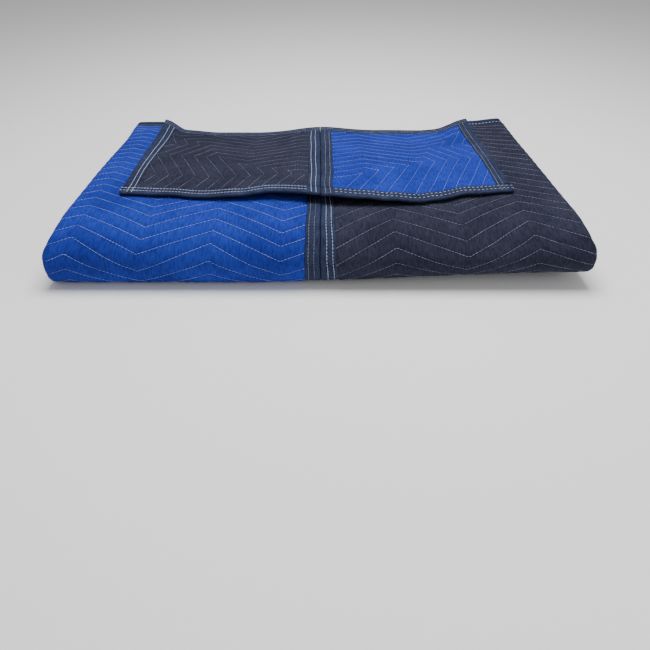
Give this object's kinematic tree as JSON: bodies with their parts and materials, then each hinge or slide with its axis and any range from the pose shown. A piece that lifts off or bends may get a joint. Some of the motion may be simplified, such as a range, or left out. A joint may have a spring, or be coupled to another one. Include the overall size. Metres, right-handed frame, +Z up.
{
  "type": "folded quilted moving blanket",
  "caption": "Quilted moving blanket folded to a low rectangular pack with a round front, one half blue and one half navy, bound edges on the centre line and a bound flap turned forward on top.",
  "frame": {"origin": "centre of the pack's footprint, on the surface it rests on", "axes": "+Z up, +X to the right half seen from the front, +Y to the back where the open hems are; the round fold is at -Y"},
  "size_m": [0.9476, 0.5135, 0.1369],
  "materials": {
    "blue_cloth": "matt woven polyester-cotton cloth, quilted",
    "navy_cloth": "matt woven polyester-cotton cloth, quilted",
    "binding": "matt woven binding tape"
  },
  "bodies": {
    "root": {"panel_left": "blue_cloth", "panel_right": "navy_cloth", "flap_left": "navy_cloth", "flap_right": "blue_cloth", "binding_centre_left": "binding", "binding_centre_right": "binding", "binding_top_hem_left": "binding", "binding_top_hem_right": "binding", "binding_inner_hem_left": "binding", "binding_inner_hem_right": "binding", "binding_flap_inner_left": "binding", "binding_flap_inner_right": "binding", "binding_flap_outer_left": "binding", "binding_flap_outer_right": "binding", "binding_flap_back_left": "binding", "binding_flap_back_right": "binding", "binding_flap_front_left": "binding", "binding_flap_front_right": "binding"}
  },
  "joints": []
}
